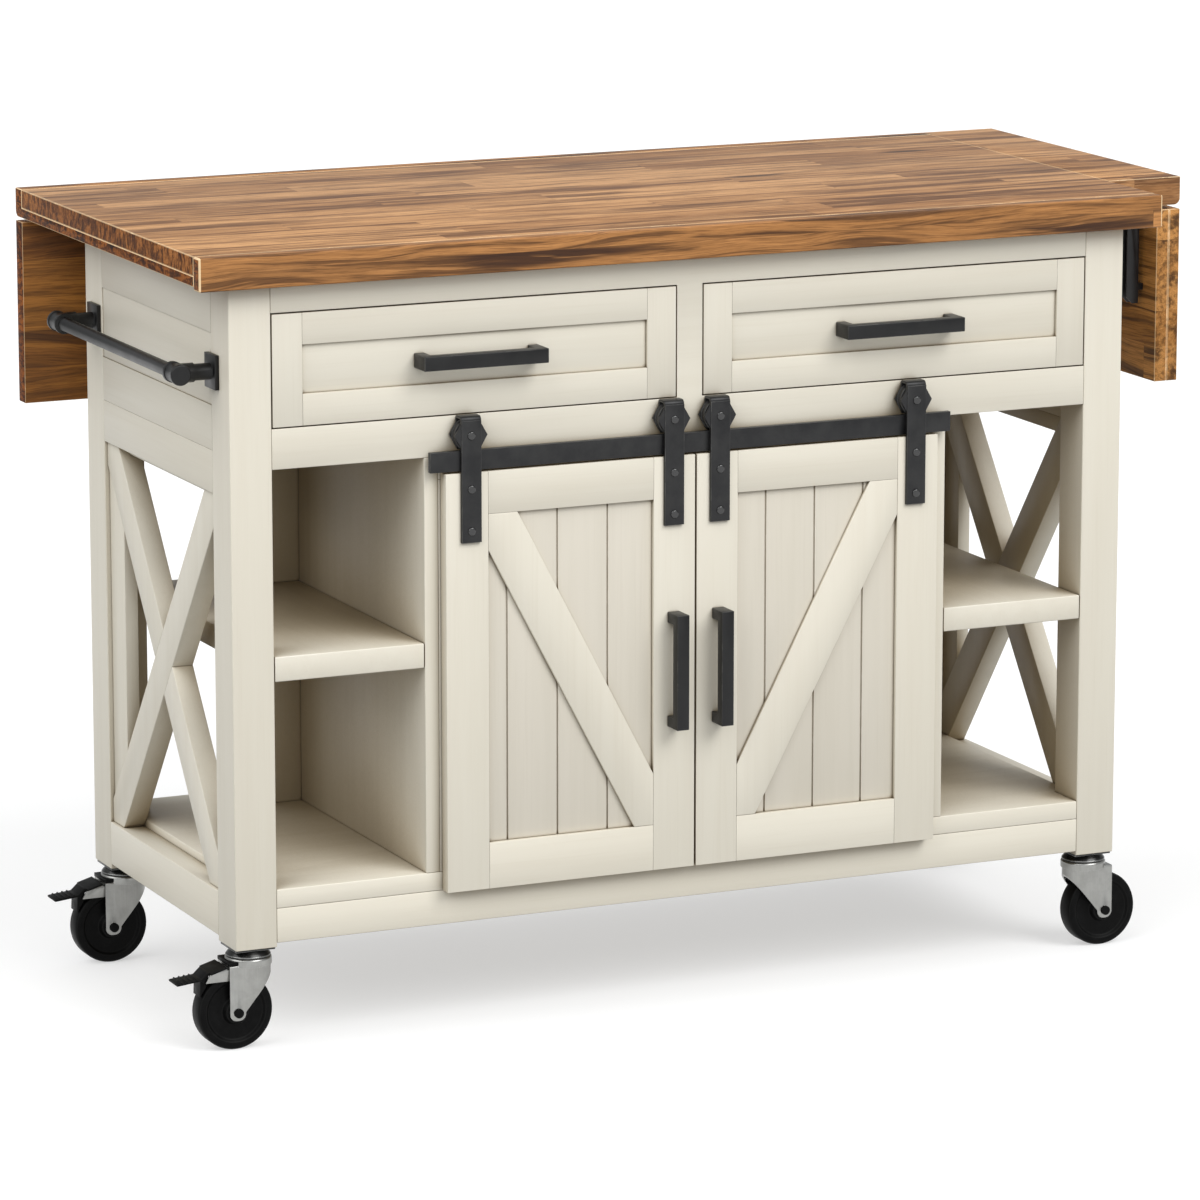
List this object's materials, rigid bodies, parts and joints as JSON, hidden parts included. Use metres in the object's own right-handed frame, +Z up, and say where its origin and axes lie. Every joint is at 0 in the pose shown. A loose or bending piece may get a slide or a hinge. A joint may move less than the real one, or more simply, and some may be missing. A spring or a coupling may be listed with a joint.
{
  "type": "rolling kitchen cart with drop leaves",
  "caption": "Rolling kitchen cart with a butcher-block top, drop leaves, drawers, sliding barn doors, open shelves with crossed braces and a towel bar.",
  "frame": {"origin": "on the floor under the middle of the whole cart's bounding box", "axes": "+X to the right along the front, towards the end with the short drop leaf; +Y to the back; +Z up"},
  "size_m": [1.3316, 0.643, 0.914],
  "materials": {
    "black_metal": "matt black powder coat",
    "black_plastic": "moulded nylon",
    "black_wheel": "hard black rubber",
    "butcher_block": "oiled, mid brown staves",
    "cream_wood": "matt off-white paint on wood",
    "drawer_wood": "bare birch drawer sides",
    "zinc": "bright zinc plate"
  },
  "bodies": {
    "cart": {"worktop_slab": "butcher_block", "worktop_front_strip": "butcher_block", "worktop_edge_strips": "butcher_block", "worktop_extension": "butcher_block", "corner_posts": "cream_wood", "face_frame": "cream_wood", "end_rails": "cream_wood", "end_panels": "cream_wood", "end_braces": "cream_wood", "partitions": "cream_wood", "bottom_shelf": "cream_wood", "drawer_deck": "cream_wood", "back_panels": "cream_wood", "centre_back_panel": "cream_wood", "middle_shelves": "cream_wood", "shelf_pins": "zinc", "drawer_runners": "zinc", "door_rail": "black_metal", "towel_bar": "black_metal", "leaf_hinge_bases": "black_metal", "leaf_arm_feet": "black_metal", "foot_blocks": "black_plastic", "caster_mounts": "zinc"},
    "left_drawer": {"left_drawer_box": "drawer_wood", "left_drawer_front": "cream_wood", "left_drawer_pull": "black_metal"},
    "left_door": {"left_door_frame": "cream_wood", "left_door_panel": "cream_wood", "left_door_brace": "cream_wood", "left_door_pull": "black_metal", "left_door_hangers": "black_metal"},
    "left_inner_roller_body": {"left_inner_roller": "black_plastic"},
    "left_outer_roller_body": {"left_outer_roller": "black_plastic"},
    "right_drawer": {"right_drawer_box": "drawer_wood", "right_drawer_front": "cream_wood", "right_drawer_pull": "black_metal"},
    "right_door": {"right_door_frame": "cream_wood", "right_door_panel": "cream_wood", "right_door_brace": "cream_wood", "right_door_pull": "black_metal", "right_door_hangers": "black_metal"},
    "right_inner_roller_body": {"right_inner_roller": "black_plastic"},
    "right_outer_roller_body": {"right_outer_roller": "black_plastic"},
    "back_leaf_body": {"back_leaf": "butcher_block", "back_leaf_hinges": "black_metal"},
    "back_arms_body": {"back_leaf_arms": "black_metal"},
    "right_leaf_body": {"right_leaf": "butcher_block", "right_leaf_hinges": "black_metal"},
    "right_arms_body": {"right_leaf_arms": "black_metal"},
    "front_left_caster": {"front_left_caster_fork": "zinc"},
    "front_left_wheel_body": {"front_left_wheel": "black_wheel"},
    "front_right_caster": {"front_right_caster_fork": "zinc"},
    "front_right_wheel_body": {"front_right_wheel": "black_wheel"},
    "front_left_brake": {"front_left_brake_lever": "black_metal"},
    "back_left_caster": {"back_left_caster_fork": "zinc"},
    "back_left_wheel_body": {"back_left_wheel": "black_wheel"},
    "back_right_caster": {"back_right_caster_fork": "zinc"},
    "back_right_wheel_body": {"back_right_wheel": "black_wheel"},
    "back_left_brake": {"back_left_brake_lever": "black_metal"}
  },
  "joints": [
    {"name": "left_drawer_slide", "type": "slide", "parent": "cart", "child": "left_drawer", "axis": [0, -1, 0], "range_m": [0, 0.29]},
    {"name": "left_door_slide", "type": "slide", "parent": "cart", "child": "left_door", "axis": [-1, 0, 0], "range_m": [0, 0.035]},
    {"name": "left_inner_roller_turn", "type": "hinge", "parent": "left_door", "child": "left_inner_roller_body", "pos_m": [-0.06575, -0.2875, 0.6933], "axis": [0, 1, 0], "range_deg": [-125, 0]},
    {"name": "left_outer_roller_turn", "type": "hinge", "parent": "left_door", "child": "left_outer_roller_body", "pos_m": [-0.31775, -0.2875, 0.6933], "axis": [0, 1, 0], "range_deg": [-125, 0]},
    {"name": "right_drawer_slide", "type": "slide", "parent": "cart", "child": "right_drawer", "axis": [0, -1, 0], "range_m": [0, 0.29]},
    {"name": "right_door_slide", "type": "slide", "parent": "cart", "child": "right_door", "axis": [1, 0, 0], "range_m": [0, 0.035]},
    {"name": "right_inner_roller_turn", "type": "hinge", "parent": "right_door", "child": "right_inner_roller_body", "pos_m": [-0.00775, -0.2875, 0.6933], "axis": [0, 1, 0], "range_deg": [0, 125]},
    {"name": "right_outer_roller_turn", "type": "hinge", "parent": "right_door", "child": "right_outer_roller_body", "pos_m": [0.24425, -0.2875, 0.6933], "axis": [0, 1, 0], "range_deg": [0, 125]},
    {"name": "back_leaf_lift", "type": "hinge", "parent": "cart", "child": "back_leaf_body", "pos_m": [-0.03675, 0.3045, 0.897], "axis": [1, 0, 0], "range_deg": [0, 90]},
    {"name": "right_leaf_lift", "type": "hinge", "parent": "cart", "child": "right_leaf_body", "pos_m": [0.64875, 0.0792, 0.897], "axis": [0, -1, 0], "range_deg": [0, 90]},
    {"name": "back_arms_lift", "type": "hinge", "parent": "cart", "child": "back_arms_body", "pos_m": [-0.03675, 0.2755, 0.868], "axis": [1, 0, 0], "range_deg": [0, 90]},
    {"name": "right_arms_lift", "type": "hinge", "parent": "cart", "child": "right_arms_body", "pos_m": [0.61975, 0.0695, 0.868], "axis": [0, -1, 0], "range_deg": [0, 90]},
    {"name": "front_left_swivel", "type": "hinge", "parent": "cart", "child": "front_left_caster", "pos_m": [-0.57475, -0.2475, 0.11], "axis": [0, 0, 1], "continuous": true},
    {"name": "front_left_wheel_turn", "type": "hinge", "parent": "front_left_caster", "child": "front_left_wheel_body", "pos_m": [-0.59475, -0.2475, 0.045], "axis": [0, 1, 0], "continuous": true},
    {"name": "front_right_swivel", "type": "hinge", "parent": "cart", "child": "front_right_caster", "pos_m": [0.50125, -0.2475, 0.11], "axis": [0, 0, 1], "continuous": true},
    {"name": "front_right_wheel_turn", "type": "hinge", "parent": "front_right_caster", "child": "front_right_wheel_body", "pos_m": [0.52125, -0.2475, 0.045], "axis": [0, 1, 0], "continuous": true},
    {"name": "front_left_brake_turn", "type": "hinge", "parent": "front_left_caster", "child": "front_left_brake", "pos_m": [-0.59925, -0.2475, 0.093], "axis": [0, 1, 0], "range_deg": [0, 15]},
    {"name": "back_left_swivel", "type": "hinge", "parent": "cart", "child": "back_left_caster", "pos_m": [-0.57475, 0.1665, 0.11], "axis": [0, 0, 1], "continuous": true},
    {"name": "back_left_wheel_turn", "type": "hinge", "parent": "back_left_caster", "child": "back_left_wheel_body", "pos_m": [-0.59475, 0.1665, 0.045], "axis": [0, 1, 0], "continuous": true},
    {"name": "back_right_swivel", "type": "hinge", "parent": "cart", "child": "back_right_caster", "pos_m": [0.50125, 0.1665, 0.11], "axis": [0, 0, 1], "continuous": true},
    {"name": "back_right_wheel_turn", "type": "hinge", "parent": "back_right_caster", "child": "back_right_wheel_body", "pos_m": [0.52125, 0.1665, 0.045], "axis": [0, 1, 0], "continuous": true},
    {"name": "back_left_brake_turn", "type": "hinge", "parent": "back_left_caster", "child": "back_left_brake", "pos_m": [-0.59925, 0.1665, 0.093], "axis": [0, 1, 0], "range_deg": [0, 15]}
  ],
  "couplings": [
    {"joint": "left_inner_roller_turn", "follows": "left_door_slide", "rad_per_m": -57.143},
    {"joint": "left_outer_roller_turn", "follows": "left_door_slide", "rad_per_m": -57.143},
    {"joint": "right_inner_roller_turn", "follows": "right_door_slide", "rad_per_m": 57.143},
    {"joint": "right_outer_roller_turn", "follows": "right_door_slide", "rad_per_m": 57.143},
    {"joint": "back_arms_lift", "follows": "back_leaf_lift", "ratio": 1},
    {"joint": "right_arms_lift", "follows": "right_leaf_lift", "ratio": 1}
  ]
}
